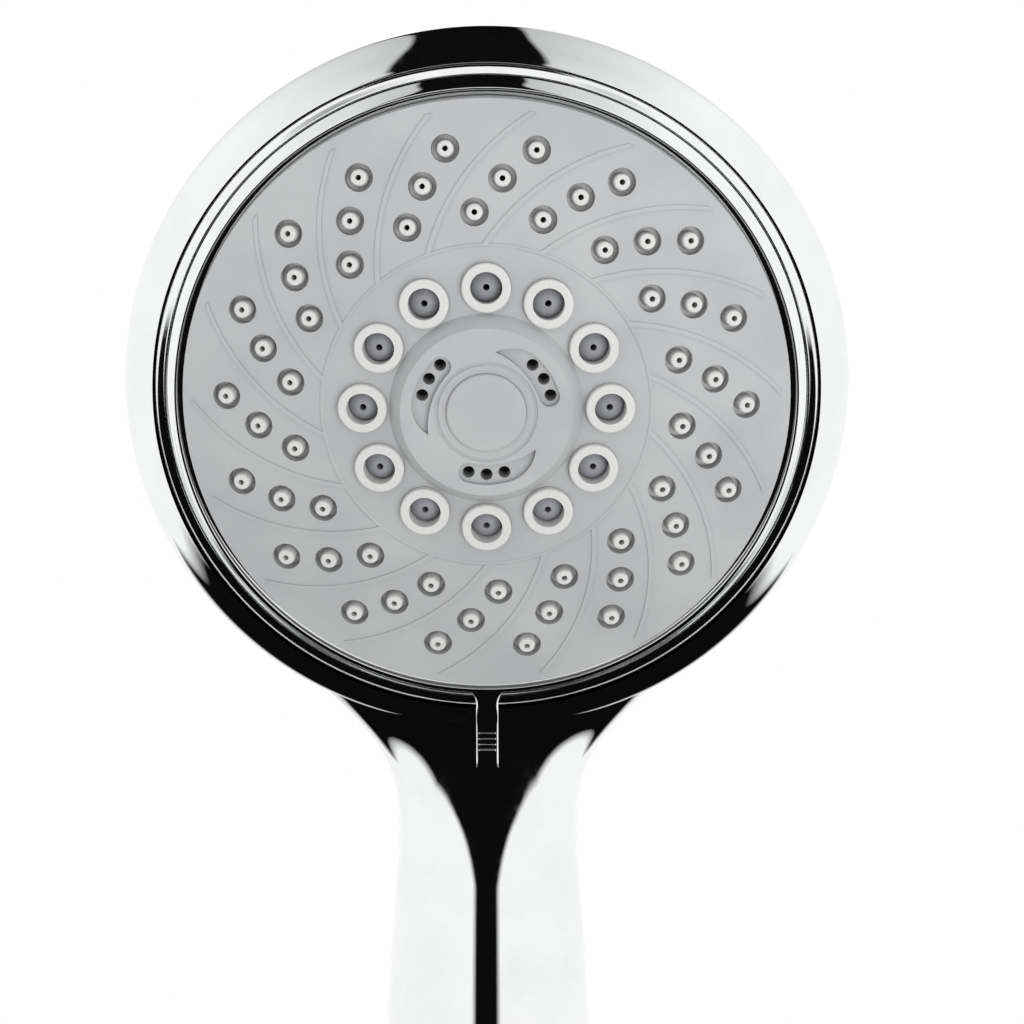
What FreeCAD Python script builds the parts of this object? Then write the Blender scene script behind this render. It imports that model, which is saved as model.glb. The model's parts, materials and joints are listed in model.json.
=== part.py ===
"""Handheld shower head with a turning, five-position spray face.

All sizes are in millimetres. The row frame has +Z up along the handle, with its origin at the centre of the
inlet nipple's lower end. The head looks along -Y and a little down.

The head's own pieces are drawn in a second frame, the head frame: its z runs along the spray axis, out of the
face, and is zero at the top of the face's dome; its y runs up the face, and its x is the row's X.
"""
import FreeCAD
import Part

import math
import os

Vector = FreeCAD.Vector
SPRAY_AXIS = Vector(0, 0, 1)
CLEAR = 0.05                      # gap between pieces that are fixed to each other

# The head's place on the handle
FACE_TILT = 15.3                  # the face looks this many degrees below level
RIM_RADIUS = 60.6                 # widest radius of the head
RIM_BACK = 16.3                   # the rim lies this far behind the top of the dome
OVERALL_HEIGHT = 249.6
NECK_BACK = 30.5                  # the neck's centre line lies this far behind the top of the dome
BEND_START, BEND_END = 55.0, 128.0  # heights between which the handle leans forward

# Spray face
DOME_RADIUS = 164.0
PLATE_RADIUS = 50.4
PLATE_WALL = 2.2
MAT_WALL = 1.35
ISLAND_RADIUS, ISLAND_RISE = 14.8, 2.0
ISLAND_GROOVE = 8.2
CAP_RADIUS = 6.6
BELT_RADIUS = 27.2                # circular rib between the rain nozzles and the pulse jets
RIB_WIDTH, RIB_RISE = 0.7, 0.2
NOZZLE_RINGS = (32.5, 37.9, 43.0)
NOZZLES_PER_RING = 18
SWIRL_START = -23.4               # clockwise angle of the first nozzle on the inner ring
SWIRL_RATE = 1.374                # degrees clockwise for each millimetre of radius
NOZZLE_SEAT, NOZZLE_BASE, NOZZLE_TIP, NOZZLE_HOLE = 2.35, 1.65, 1.35, 0.48
NOZZLE_RISE = 0.6
JET_RING, JET_COUNT = 20.3, 12
COLLAR_RADIUS, COLLAR_BORE, COLLAR_RISE = 4.1, 2.65, 1.3
JET_HOLE = 0.55
MIST_RING, MIST_STEP, MIST_HOLE = 10.85, 15.8, 1.0
CRESCENT_DEPTH = 1.0
CRESCENT_INNER, CRESCENT_OUTER = 9.0, 12.4

# Turning stack, as distances from the top of the dome
POST_RADIUS, RUNNING = 5.0, 0.08
POST_FRONT = -4.0
ISLAND_BACK = -2.6
BOSS_RADIUS, BOSS_BACK, WEB_FRONT = 8.0, -6.5, -4.2
CHANNEL_FRONT, CHANNEL_BACK = -13.8, -15.6
CHANNEL_RADIUS = 49.3
DISC_BACK = -18.0
DISC_RADIUS = 46.0
BASE_FRONT, BASE_BACK = -18.4, -22.4
BASE_RADIUS = 55.2
OPENING_RADIUS, MOUTH = 55.65, -11.1  # the head's opening, where the bezel turns
PULSE_WALL = 15.2                 # the pulse wheel turns round this wall of the channel plate
PORT_RING = 28.0
RAIN_FEED, PULSE_FEED, MIST_FEED = 37.5, 20.5, 12.0
MODE_CHANNELS = (                 # each port's groove, from radius to radius: mist, rain and mist, rain, pulse,
    (MIST_FEED, PORT_RING), (MIST_FEED, RAIN_FEED), (PORT_RING, RAIN_FEED),    # rain and pulse
    (PULSE_FEED, PORT_RING), (PULSE_FEED, RAIN_FEED),
)
DETENT_RING, DETENT_STEP = 16.0, 25.0
NOSE_RADIUS = 1.6                 # rounded nose of the detent spring
NOSE_CENTRE = DISC_BACK - 0.75
LEAF_FRONT, LEAF_THICK = -19.25, 0.35
TAB_WIDTH, TAB_REACH = 3.8, 68.0

# Inlet
THREAD_RADIUS = 10.4775           # G1/2 outside
THREAD_LENGTH = 11.0
HANDLE_FOOT = 13.5
WALL = 2.5
TUBE_RADIUS, TUBE_BORE = 5.0, 3.9
NIPPLE_TOP = 30.0

# Outside of the handle: height, half width, half depth and forward shift of the ovals that it runs through
HANDLE_OVALS = (
    (HANDLE_FOOT, 12.2, 12.1, 0.0), (40.0, 15.4, 14.6, 0.0), (78.0, 17.6, 15.3, 0.0), (106.0, 16.0, 13.8, 0.0),
    (119.0, 15.8, 13.0, 0.0), (128.0, 18.6, 12.3, 0.0), (136.0, 25.0, 11.7, 0.4), (144.0, 31.6, 13.4, 3.4),
    (153.0, 35.6, 15.0, 6.0), (164.0, 36.0, 15.2, 6.8), (178.0, 32.0, 15.0, 7.8), (194.0, 24.0, 11.0, 8.5),
)
OVAL_GAP = 7.0

SINE, COSINE = math.sin(math.radians(FACE_TILT)), math.cos(math.radians(FACE_TILT))
DOME_Z = OVERALL_HEIGHT - RIM_RADIUS * COSINE - RIM_BACK * SINE
BEND_RATE = math.tan(math.radians(FACE_TILT)) / (2 * (BEND_END - BEND_START))
BEND_Y = -BEND_RATE * (BEND_END - BEND_START) ** 2
DOME_Y = BEND_Y - (NECK_BACK + (DOME_Z - BEND_END) * SINE) / COSINE
HEAD_PLACE = FreeCAD.Placement(Vector(0, DOME_Y, DOME_Z), FreeCAD.Rotation(Vector(1, 0, 0), 90 + FACE_TILT))


# ---------------------------------------------------------------- shared shapes

def dome(radius, depth=0.0):
    """Head-frame height of the dome, or of a dome that lies depth inside it, at this radius."""
    return math.sqrt((DOME_RADIUS - depth) ** 2 - radius ** 2) - DOME_RADIUS


def turned(start, *steps):
    """A solid turned about z. Each step is an (r, z) end point, or (end point, point its arc passes through)."""
    edges, here = [], start
    for step in steps + (start,):
        end, middle = step if isinstance(step[0], tuple) else (step, None)
        a, b = Vector(here[0], 0, here[1]), Vector(end[0], 0, end[1])
        if middle:
            edges.append(Part.Arc(a, Vector(middle[0], 0, middle[1]), b).toShape())
        else:
            edges.append(Part.makeLine(a, b))
        here = end
    return Part.Face(Part.Wire(edges)).revolve(Vector(0, 0, 0), SPRAY_AXIS, 360)


def ring(inner, outer, low, high):
    """A flat ring, or a disc where inner is zero."""
    body = Part.makeCylinder(outer, high - low, Vector(0, 0, low))
    return body.cut(Part.makeCylinder(inner, high - low, Vector(0, 0, low))) if inner else body


def shell_of_dome(inner, outer, front, back):
    """The part of a dome-shaped shell between two radii, from depth front to depth back."""
    middle = (inner + outer) / 2
    return turned((inner, dome(inner, back)),
                  ((outer, dome(outer, back)), (middle, dome(middle, back))),
                  (outer, dome(outer, front)),
                  ((inner, dome(inner, front)), (middle, dome(middle, front))))


def polar(radius, clockwise, height=0.0):
    """A head-frame point at a clockwise angle from the top, as the face is seen from the front."""
    angle = math.radians(clockwise)
    return Vector(radius * math.sin(angle), radius * math.cos(angle), height)


def on_dome(shape, radius, clockwise):
    """A shape drawn along z about the dome's top, turned to stand on the dome at this radius and angle."""
    lean = math.degrees(math.asin(radius / DOME_RADIUS))
    copy = shape.copy()
    copy.rotate(Vector(0, 0, -DOME_RADIUS), Vector(1, 0, 0), -lean)
    copy.rotate(Vector(0, 0, 0), SPRAY_AXIS, -clockwise)
    return copy


def around(shape, count, start=0.0):
    """Copies of a shape drawn at the top of the face, evenly spaced clockwise."""
    copies = []
    for n in range(count):
        copy = shape.copy()
        copy.rotate(Vector(0, 0, 0), SPRAY_AXIS, -(start + n * 360.0 / count))
        copies.append(copy)
    return copies


def swirl_angle(radius):
    return SWIRL_START + SWIRL_RATE * (radius - NOZZLE_RINGS[0])


def nozzle_places():
    """Radius and clockwise angle of each rain nozzle."""
    step = 360.0 / NOZZLES_PER_RING
    return [(r, swirl_angle(r) + n * step) for r in NOZZLE_RINGS for n in range(NOZZLES_PER_RING)]


def jet_places():
    return [(JET_RING, n * 360.0 / JET_COUNT) for n in range(JET_COUNT)]


def mist_places():
    return [(MIST_RING, group + side * MIST_STEP) for group in (60, 180, 300) for side in (-1, 0, 1)]


def torus(major, minor, height, centre=Vector(0, 0, 0), axis=SPRAY_AXIS):
    return Part.makeTorus(major, minor, Vector(centre.x, centre.y, centre.z + height), axis)


def pan_screw(head_radius, head_height, shank_radius, length):
    """A pan-head screw whose seat is at z = 0, pointing down -z, with a cross recess."""
    head = turned((0, 0), (head_radius, 0), (head_radius, head_height * 0.45),
                  ((head_radius * 0.45, head_height), (head_radius * 0.85, head_height * 0.85)),
                  (0, head_height))
    shank = turned((0, 0), (shank_radius, 0), (shank_radius, -length + shank_radius), (0, -length))
    slot = Part.makeBox(head_radius * 1.1, head_radius * 0.26, head_height,
                        Vector(-head_radius * 0.55, -head_radius * 0.13, head_height * 0.45))
    cross = slot.fuse(slot.rotated(Vector(0, 0, 0), SPRAY_AXIS, 90))
    return head.fuse(shank).cut(cross)


# ---------------------------------------------------------------- the spray face, which turns

def crescent(grow=0.0):
    """Outline of one mist recess, centred at the top: a round end to the clockwise side and a pointed tail."""
    inner, outer = CRESCENT_INNER - grow, CRESCENT_OUTER + grow
    middle = (CRESCENT_INNER + CRESCENT_OUTER) / 2
    end = (outer - inner) / 2
    tail = polar(middle - 0.4, -52 - 2 * grow)
    wire = Part.Wire([
        Part.Arc(tail, polar(outer - 0.35, -33), polar(outer, -14)).toShape(),
        Part.Arc(polar(outer, -14), polar(outer, 1), polar(outer, MIST_STEP)).toShape(),
        Part.Arc(polar(outer, MIST_STEP), polar(middle, MIST_STEP) + polar(end, MIST_STEP + 90),
                 polar(inner, MIST_STEP)).toShape(),
        Part.Arc(polar(inner, MIST_STEP), polar(inner, -12), tail).toShape(),
    ])
    return Part.Face(wire).extrude(Vector(0, 0, ISLAND_RISE * 2))


def swirl_ribs():
    """The curved ribs between the rain nozzles, as thin walls cut to the dome."""
    inner, outer = BELT_RADIUS, PLATE_RADIUS - 1.6
    middle, half = (inner + outer) / 2, RIB_WIDTH / 2
    step = 360.0 / NOZZLES_PER_RING

    def side(offset):
        def place(r):
            return polar(r, swirl_angle(r) - step / 2 + math.degrees(offset / r) * 1.4)
        return [place(inner), place(middle), place(outer)]

    a, b = side(-half), side(half)
    wall = Part.Face(Part.Wire([
        Part.Arc(*a).toShape(), Part.makeLine(a[2], b[2]), Part.Arc(b[2], b[1], b[0]).toShape(),
        Part.makeLine(b[0], a[0])])).extrude(Vector(0, 0, 20))
    wall.translate(Vector(0, 0, -15))
    skin = shell_of_dome(inner - 2, outer + 1, -RIB_RISE, PLATE_WALL / 2)
    return Part.makeCompound(around(wall, NOZZLES_PER_RING)).common(skin)


def face_plate():
    edge, half = PLATE_RADIUS, RIB_WIDTH / 2
    flat = ISLAND_RADIUS + 0.6
    plate = turned(
        (0, ISLAND_RISE), (ISLAND_RADIUS - 0.6, ISLAND_RISE), (flat + 0.6, dome(flat + 0.6)),
        ((BELT_RADIUS - half, dome(BELT_RADIUS - half)), (21, dome(21))),
        ((BELT_RADIUS + half, dome(BELT_RADIUS + half)), (BELT_RADIUS, dome(BELT_RADIUS) + RIB_RISE)),
        ((edge, dome(edge)), (40, dome(40))),
        (edge, dome(edge, PLATE_WALL)),
        ((flat, dome(flat, PLATE_WALL)), (35, dome(35, PLATE_WALL))),
        (flat, ISLAND_BACK), (BOSS_RADIUS, ISLAND_BACK), (BOSS_RADIUS, BOSS_BACK), (0, BOSS_BACK))
    plate = plate.fuse(swirl_ribs())
    seat = Part.makeCylinder(NOZZLE_SEAT, 9, Vector(0, 0, -6))
    collar_seat = Part.makeCylinder(COLLAR_RADIUS + CLEAR, 9, Vector(0, 0, -6))
    mist = Part.makeCylinder(MIST_HOLE, 9, Vector(0, 0, -6))
    cuts = [on_dome(seat, *p) for p in nozzle_places()]
    cuts += [on_dome(collar_seat, *p) for p in jet_places()]
    cuts += [mist.translated(polar(*p)) for p in mist_places()]
    cuts += [c.translated(Vector(0, 0, ISLAND_RISE - CRESCENT_DEPTH)) for c in around(crescent(), 3, 60)]
    cuts.append(torus(ISLAND_GROOVE, 0.28, ISLAND_RISE))
    cuts += [ring(0, CAP_RADIUS + CLEAR, WEB_FRONT, ISLAND_RISE + 1),
             ring(0, POST_RADIUS + RUNNING, BOSS_BACK - 1, WEB_FRONT + 1)]
    return plate.cut(cuts)


def centre_cap():
    """The plug that hides the centre screw: a domed disc with a snap skirt."""
    top, under = ISLAND_RISE + 1.0, ISLAND_RISE - 0.4
    return turned((0, top), ((CAP_RADIUS - 0.5, top - 0.25), (3.5, top - 0.08)),
                  ((CAP_RADIUS, top - 0.75), (CAP_RADIUS - 0.15, top - 0.4)),
                  (CAP_RADIUS, -0.6), (CAP_RADIUS - 1.2, -0.6), (CAP_RADIUS - 1.2, under), (0, under))


def nozzle_mat():
    """White silicone mat with a nipple for each rain nozzle and a collar round each pulse jet."""
    front, back = PLATE_WALL + CLEAR, PLATE_WALL + MAT_WALL
    mat = shell_of_dome(ISLAND_RADIUS + 0.7, 47.4, front, back)
    root = -PLATE_WALL - MAT_WALL / 2
    nipple = turned((0, root), (NOZZLE_BASE, root), (NOZZLE_TIP, NOZZLE_RISE - 0.45),
                    ((NOZZLE_TIP - 0.45, NOZZLE_RISE), (NOZZLE_TIP - 0.13, NOZZLE_RISE - 0.13)), (0, NOZZLE_RISE))
    collar = turned((0, root), (COLLAR_RADIUS, root), (COLLAR_RADIUS, COLLAR_RISE - 0.4),
                    ((COLLAR_RADIUS - 0.4, COLLAR_RISE), (COLLAR_RADIUS - 0.12, COLLAR_RISE - 0.12)),
                    (0, COLLAR_RISE))
    hole = Part.makeCylinder(NOZZLE_HOLE, 9, Vector(0, 0, -6))
    bore = Part.makeCylinder(COLLAR_BORE, 9, Vector(0, 0, -6))
    mat = mat.fuse([on_dome(nipple, *p) for p in nozzle_places()] + [on_dome(collar, *p) for p in jet_places()])
    return mat.cut([on_dome(hole, *p) for p in nozzle_places()] + [on_dome(bore, *p) for p in jet_places()])


JET_PLATE_FRONT = PLATE_WALL + MAT_WALL + CLEAR
JET_PLATE_BACK = JET_PLATE_FRONT + 1.7


def jet_insert():
    """Ring of grey domed jets that stand inside the mat's collars."""
    plate = shell_of_dome(PULSE_WALL + 0.3, 25.0, JET_PLATE_FRONT, JET_PLATE_BACK)
    root, base, top = -JET_PLATE_FRONT - 0.4, -1.6, 0.1
    radius = COLLAR_BORE - CLEAR
    jet = turned((0, root), (radius, root), (radius, base),
                 ((0, top), (radius * 0.72, base + (top - base) * 0.55)))
    hole = Part.makeCylinder(JET_HOLE, 12, Vector(0, 0, -9))
    plate = plate.fuse([on_dome(jet, *p) for p in jet_places()])
    return plate.cut([on_dome(hole, *p) for p in jet_places()])


def mist_insert():
    plate = ring(BOSS_RADIUS + 0.1, PULSE_WALL - 0.1, ISLAND_BACK - 1.5, ISLAND_BACK - CLEAR)
    swirl = Part.makeCylinder(0.35, 4, Vector(0, 0, ISLAND_BACK - 3))
    cup = Part.makeCylinder(0.8, 0.7, Vector(0, 0, ISLAND_BACK - 1.5))
    return plate.cut([s.translated(polar(*p)) for p in mist_places() for s in (swirl, cup)])


def channel_plate():
    """The moulded plate whose round walls part the water into rain, pulse and mist channels."""
    plate = ring(BOSS_RADIUS + 0.2, CHANNEL_RADIUS, CHANNEL_BACK, CHANNEL_FRONT)
    low, mist_back = CHANNEL_FRONT - 0.2, ISLAND_BACK - 1.5 - CLEAR
    walls = [ring(BOSS_RADIUS + 0.2, BOSS_RADIUS + 1.4, low, mist_back),
             ring(PULSE_WALL - 1.2, PULSE_WALL, low, mist_back),
             ring(26.0, BELT_RADIUS, low, 0), ring(48.0, CHANNEL_RADIUS, low, 0)]
    deep = PLATE_WALL + MAT_WALL + 0.1
    keep = turned((0, low), (49.4, low), (49.4, dome(49.4, PLATE_WALL + 0.1)),
                  (47.7, dome(47.7, PLATE_WALL + 0.1)), (47.7, dome(47.7, deep)),
                  ((0, -deep), (24, dome(24, deep))))
    plate = plate.fuse([w.common(keep) for w in walls])
    rain = Part.makeCylinder(2.8, 6, polar(RAIN_FEED, 0, CHANNEL_BACK - 2))
    pulse = Part.makeCylinder(1.1, 9, polar(PULSE_FEED, 0, CHANNEL_BACK - 2), Vector(0.6, 0, 1))
    mist = Part.makeCylinder(1.0, 6, polar(MIST_FEED, 0, CHANNEL_BACK - 2))
    pilot = Part.makeCylinder(0.95, 6, polar(44.0, 0, CHANNEL_BACK - 2))
    return plate.cut(around(rain, 6) + around(pulse, 6, 190)[:5] + around(mist, 3, 20) + around(pilot, 3, 50))


def pulse_wheel():
    """The paddle wheel that chops the pulse jets: a hub ring, nine blades and a half-moon shutter."""
    bore, tip = PULSE_WALL + RUNNING, 25.4
    low, top = CHANNEL_FRONT + 0.4, -8.9
    hub = ring(bore, bore + 1.3, low, top + 0.7)
    blade = Part.makeBox(1.1, tip - bore - 0.6, top - low, Vector(-0.55, bore + 0.6, low))
    blade.rotate(Vector(0, 18, 0), SPRAY_AXIS, -24)
    shutter = ring(bore, tip, top, top + 0.7).common(
        Part.makeBox(2 * tip, tip, 4, Vector(-tip, 0, top - 1)))
    keep = ring(bore, tip, low, top + 0.7)
    return hub.fuse([b.common(keep) for b in around(blade, 9)] + [shutter])


def groove(inner, outer):
    """A water groove in the front of the selector disc."""
    return ring(inner, outer, CHANNEL_BACK - 1.0, CHANNEL_BACK)


def selector_disc():
    """The rear disc: five ports that meet the fixed port seal in turn, the grooves that lead from them to the
    rain, pulse and mist feeds, and the dimples for the detent."""
    disc = ring(POST_RADIUS + RUNNING, DISC_RADIUS, DISC_BACK, CHANNEL_BACK - CLEAR)
    sleeve = ring(POST_RADIUS + RUNNING, BOSS_RADIUS - 0.2, DISC_BACK, BOSS_BACK - CLEAR)
    port = Part.makeCylinder(3.4, 6, polar(PORT_RING, 0, DISC_BACK - 1))
    screw = Part.makeCylinder(1.0, 6, polar(44.0, 0, DISC_BACK - 1))
    head_well = Part.makeCylinder(2.4, 1.3, polar(44.0, 0, DISC_BACK))
    dimple = Part.makeSphere(NOSE_RADIUS + 0.12, polar(DETENT_RING, 0, NOSE_CENTRE))
    dam = Part.makeBox(19.0, 14.0, 2.0, Vector(-9.5, 17.0, CHANNEL_BACK - 1.5))
    pulse = groove(PULSE_FEED - 2, PULSE_FEED + 2).cut(dam.rotated(Vector(0, 0, 0), SPRAY_AXIS, -142))
    cuts = [groove(RAIN_FEED - 3, RAIN_FEED + 3), pulse, groove(MIST_FEED - 1.5, MIST_FEED + 1.5)]
    cuts += around(screw, 3, 50) + around(head_well, 3, 50)
    for n, (near, far) in enumerate(MODE_CHANNELS):
        channel = Part.makeBox(3.0, far - near, 1.0, Vector(-1.5, near, CHANNEL_BACK - 1.0))
        turn = -(180 + (n - 2) * DETENT_STEP)
        cuts += [x.rotated(Vector(0, 0, 0), SPRAY_AXIS, turn) for x in (port, channel)]
        cuts.append(dimple.rotated(Vector(0, 0, 0), SPRAY_AXIS, -(90 + (n - 2) * DETENT_STEP)))
    return disc.fuse(sleeve).cut(cuts)


def disc_screws():
    screw = pan_screw(2.1, 1.1, 0.9, 3.4)
    screw.rotate(Vector(0, 0, 0), Vector(1, 0, 0), 180)
    screw.translate(polar(44.0, 0, DISC_BACK + 1.3))
    return Part.makeCompound(around(screw, 3, 50))


def bezel_ring():
    """The chromed ring that frames the face, with the thumb tab that turns it and a shelf behind the plate."""
    edge, shelf = PLATE_RADIUS + 0.95, CHANNEL_RADIUS + 0.1
    band = turned((shelf, -10.6), (edge, -10.6), (edge, -9.6), ((edge + 0.4, -9.25), (edge + 0.1, -9.35)),
                  ((53.75, -11.4), (52.9, -10.25)), ((55.3, -11.85), (54.6, -11.55)),
                  (55.3, -17.7), (54.1, -17.7), (54.0, -13.4), (52.4, -11.9), (shelf, -11.9))
    front = Part.BSplineCurve()
    front.interpolate([Vector(0, -r, z) for r, z in (
        (51.8, -9.2), (53.6, -9.4), (55.7, -9.85), (58.8, -11.2), (62.0, -12.6), (66.2, -14.4))])
    tip = Part.Arc(Vector(0, -66.2, -14.4), Vector(0, -TAB_REACH, -15.9), Vector(0, -66.8, -17.0))
    back = [Vector(0, -r, z) for r, z in (
        (66.8, -17.0), (63.5, -16.0), (61.0, -14.2), (58.9, -12.75), (57.3, -11.6), (55.5, -10.7), (54.6, -11.6),
        (54.0, -12.6))]
    lines = [Part.makeLine(a, b) for a, b in zip(back, back[1:] + [Vector(0, -51.8, -9.2)])]
    tab = Part.Face(Part.Wire([front.toShape(), tip.toShape()] + lines)).extrude(Vector(TAB_WIDTH, 0, 0))
    tab.translate(Vector(-TAB_WIDTH / 2, 0, 0))
    grips = [Part.makeCylinder(0.35, TAB_WIDTH, Vector(-TAB_WIDTH / 2, -r, z), Vector(1, 0, 0))
             for r, z in ((60.6, -12.1), (62.4, -12.85), (64.2, -13.6))]
    return band.fuse([tab] + grips)


def retaining_washer():
    return ring(1.9, 6.0, POST_FRONT, POST_FRONT + 0.9)


def centre_screw():
    screw = pan_screw(3.6, 2.1, 1.75, 11.0)
    screw.translate(Vector(0, 0, POST_FRONT + 0.9))
    return screw


# ---------------------------------------------------------------- the valve, which stays with the handle

SEAL_PLACE = polar(PORT_RING, 180)
ELBOW_BACK = -33.5
TUBE_AXIS = -30.4                 # head-frame height of the tube where it meets the elbow
SPIGOT_END = -47.0


def valve_base():
    """The fixed plate behind the face, with the pivot post and the pockets for seal, detent and O-ring."""
    step = LEAF_FRONT - LEAF_THICK - CLEAR
    base = ring(0, BASE_RADIUS, BASE_BACK, BASE_FRONT)
    base = base.fuse([ring(0, POST_RADIUS, BASE_FRONT, POST_FRONT),
                      Part.makeCylinder(8.2, 3.2, SEAL_PLACE + Vector(0, 0, BASE_BACK - 3.2)),
                      ring(0, 6.5, BASE_BACK - 3.0, BASE_BACK)])
    base = base.cut([Part.makeCylinder(1.8, 15, Vector(0, 0, POST_FRONT - 15)),
                     Part.makeCylinder(6.1, 5.3, SEAL_PLACE + Vector(0, 0, BASE_FRONT - 5.3)),
                     Part.makeCylinder(4.0, 12, SEAL_PLACE + Vector(0, 0, BASE_BACK - 8)),
                     Part.makeBox(5.2, 9.4, 2.4, Vector(DETENT_RING - 2.6, -4, BASE_FRONT - 2.4)),
                     Part.makeBox(5.2, 6.2, BASE_FRONT - step, Vector(DETENT_RING - 2.6, -10, step)),
                     ring(8.3, 10.9, BASE_FRONT - 1.7, BASE_FRONT)])
    return base.fuse(Part.makeCylinder(0.8, 0.9, Vector(DETENT_RING, -7.5, step)))


def port_seal():
    """Rubber cup that is pushed against the turning disc, round the port."""
    low, top = BASE_FRONT - 2.6, DISC_BACK - 0.1
    seal = turned((3.2, low), (6.0, low), (6.0, top - 0.8), (5.2, top), (3.9, top), (3.2, top - 0.7))
    return seal.translated(SEAL_PLACE)


def port_spring():
    """Two coned disc springs, joined at their outer rims, that push the seal against the turning disc."""
    low, inner, outer, thick, tall = BASE_FRONT - 5.25, 4.2, 5.85, 0.3, 2.55
    spring = turned((inner, low), (inner + thick, low), (outer, low + tall / 2), (inner + thick, low + tall),
                    (inner, low + tall), (outer - thick * 1.3, low + tall / 2))
    return spring.translated(SEAL_PLACE)


def hub_o_ring():
    return torus(9.6, 0.85, BASE_FRONT - 0.75)


def detent_leaf():
    """Spring-steel strip, staked at one end, whose formed nose clicks into the disc's dimples."""
    back = LEAF_FRONT - LEAF_THICK
    strip = Part.makeBox(4.0, 14.4, LEAF_THICK, Vector(DETENT_RING - 2, -9.8, back))
    centre = Vector(DETENT_RING, 0, NOSE_CENTRE)
    above = Part.makeBox(6, 6, 4, Vector(DETENT_RING - 3, -3, back))
    strip = strip.fuse(Part.makeSphere(NOSE_RADIUS, centre).common(above))
    hollow = Part.makeSphere(NOSE_RADIUS - LEAF_THICK, centre)
    return strip.cut([hollow, Part.makeCylinder(0.85, 2, Vector(DETENT_RING, -7.5, back - 1))])


def along_tube(radius, start, end):
    """A cylinder about the tube's axis, between two head-frame y values."""
    return Part.makeCylinder(radius, end - start, Vector(0, start, TUBE_AXIS), Vector(0, 1, 0))


def inlet_elbow():
    """The moulded elbow that brings the water from the tube round to the port."""
    top = BASE_BACK - 3.2 - CLEAR
    body = Part.makeCylinder(8.2, top - ELBOW_BACK, SEAL_PLACE + Vector(0, 0, ELBOW_BACK))
    spigot = along_tube(6.2, SPIGOT_END, SEAL_PLACE.y - 6.0)
    body = body.fuse(spigot.cut(Part.makeCylinder(8.25, 5, SEAL_PLACE + Vector(0, 0, top))))
    well = Part.makeCylinder(5.0, top - ELBOW_BACK - 1.6, SEAL_PLACE + Vector(0, 0, ELBOW_BACK + 1.6))
    way = along_tube(3.3, SPIGOT_END, SEAL_PLACE.y)
    socket = along_tube(TUBE_RADIUS + CLEAR, SPIGOT_END, SPIGOT_END + 9)
    seat = Part.makeTorus(TUBE_RADIUS + 0.15, 0.75, Vector(0, SPIGOT_END + 3.2, TUBE_AXIS), Vector(0, 1, 0))
    return body.cut([well, way, socket, seat])


def tube_o_ring():
    whole = Part.makeTorus(TUBE_RADIUS + 0.15, 0.7, Vector(0, SPIGOT_END + 3.2, TUBE_AXIS), Vector(0, 1, 0))
    return whole.cut(along_tube(TUBE_RADIUS + 0.02, SPIGOT_END - 5, SPIGOT_END + 10))


# ---------------------------------------------------------------- the handle, in the row frame

def spine(height):
    """Y of the handle's centre line at this height, and how far it leans forward there, in degrees."""
    if height <= BEND_START:
        return 0.0, 0.0
    if height <= BEND_END:
        return -BEND_RATE * (height - BEND_START) ** 2, math.degrees(math.atan(2 * BEND_RATE * (height - BEND_START)))
    return BEND_Y - (height - BEND_END) * math.tan(math.radians(FACE_TILT)), FACE_TILT


def oval(height, half_width, half_depth, shift):
    """One cross-section of the handle, square to its centre line."""
    wire = Part.Wire(Part.Ellipse(Vector(0, -shift, 0), half_width + 0.01, half_depth).toShape())
    y, lean = spine(height)
    wire.Placement = FreeCAD.Placement(Vector(0, y, height), FreeCAD.Rotation(Vector(1, 0, 0), lean))
    return wire


def handle_solid(inset, foot):
    """The handle's outside, or its inside where inset is the wall, from its foot up into the head."""
    heights = [row[0] for row in HANDLE_OVALS]
    widths, shifts = Part.BSplineCurve(), Part.BSplineCurve()
    widths.interpolate(Points=[Vector(0, a, b) for z, a, b, shift in HANDLE_OVALS], Parameters=heights)
    shifts.interpolate(Points=[Vector(0, z, shift) for z, a, b, shift in HANDLE_OVALS], Parameters=heights)
    steps = round((heights[-1] - heights[0]) / OVAL_GAP)
    ovals = []
    for n in range(steps + 1):
        z = heights[0] + (heights[-1] - heights[0]) * n / steps
        size = widths.value(z)
        ovals.append(oval(z if n else foot, size.y - inset, size.z - inset, shifts.value(z).z))
    return Part.makeLoft(ovals, True, False)


def head_bowl():
    """Outside of the head: a rounded rim and a shallow dished back, in the head frame."""
    curve = Part.BSplineCurve()
    curve.interpolate([Vector(r, 0, z) for r, z in (
        (OPENING_RADIUS, MOUTH), (57.3, -12.1), (58.8, -13.3), (60.0, -14.85), (RIM_RADIUS, -RIM_BACK),
        (60.1, -18.6), (58.6, -22.0), (54.2, -27.4), (41.0, -33.4), (20.0, -37.2), (0.0, -38.3))])
    lines = [Part.makeLine(Vector(0, 0, -38.3), Vector(0, 0, MOUTH)),
             Part.makeLine(Vector(0, 0, MOUTH), Vector(OPENING_RADIUS, 0, MOUTH))]
    return Part.Face(Part.Wire([curve.toShape()] + lines)).revolve(Vector(0, 0, 0), SPRAY_AXIS, 360)


def head_hollow():
    """Room inside the head, with the ledge that the valve base sits on and is welded to."""
    ledge = BASE_BACK - CLEAR
    return turned((0, 5), (OPENING_RADIUS, 5), (OPENING_RADIUS, ledge), (53.6, ledge), (52.9, -25.6),
                  ((0, -35.9), (28, -33.4)))


def in_head(shape):
    """A head-frame shape put into the row frame."""
    shape.Placement = HEAD_PLACE.multiply(shape.Placement)
    return shape


def body_shell():
    """The chromed outer moulding: head bowl, neck and handle in one."""
    outside = in_head(head_bowl()).fuse(handle_solid(0.0, HANDLE_FOOT))
    return outside.cut(in_head(head_hollow()).fuse(handle_solid(WALL, HANDLE_FOOT - 1.0)))


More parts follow.
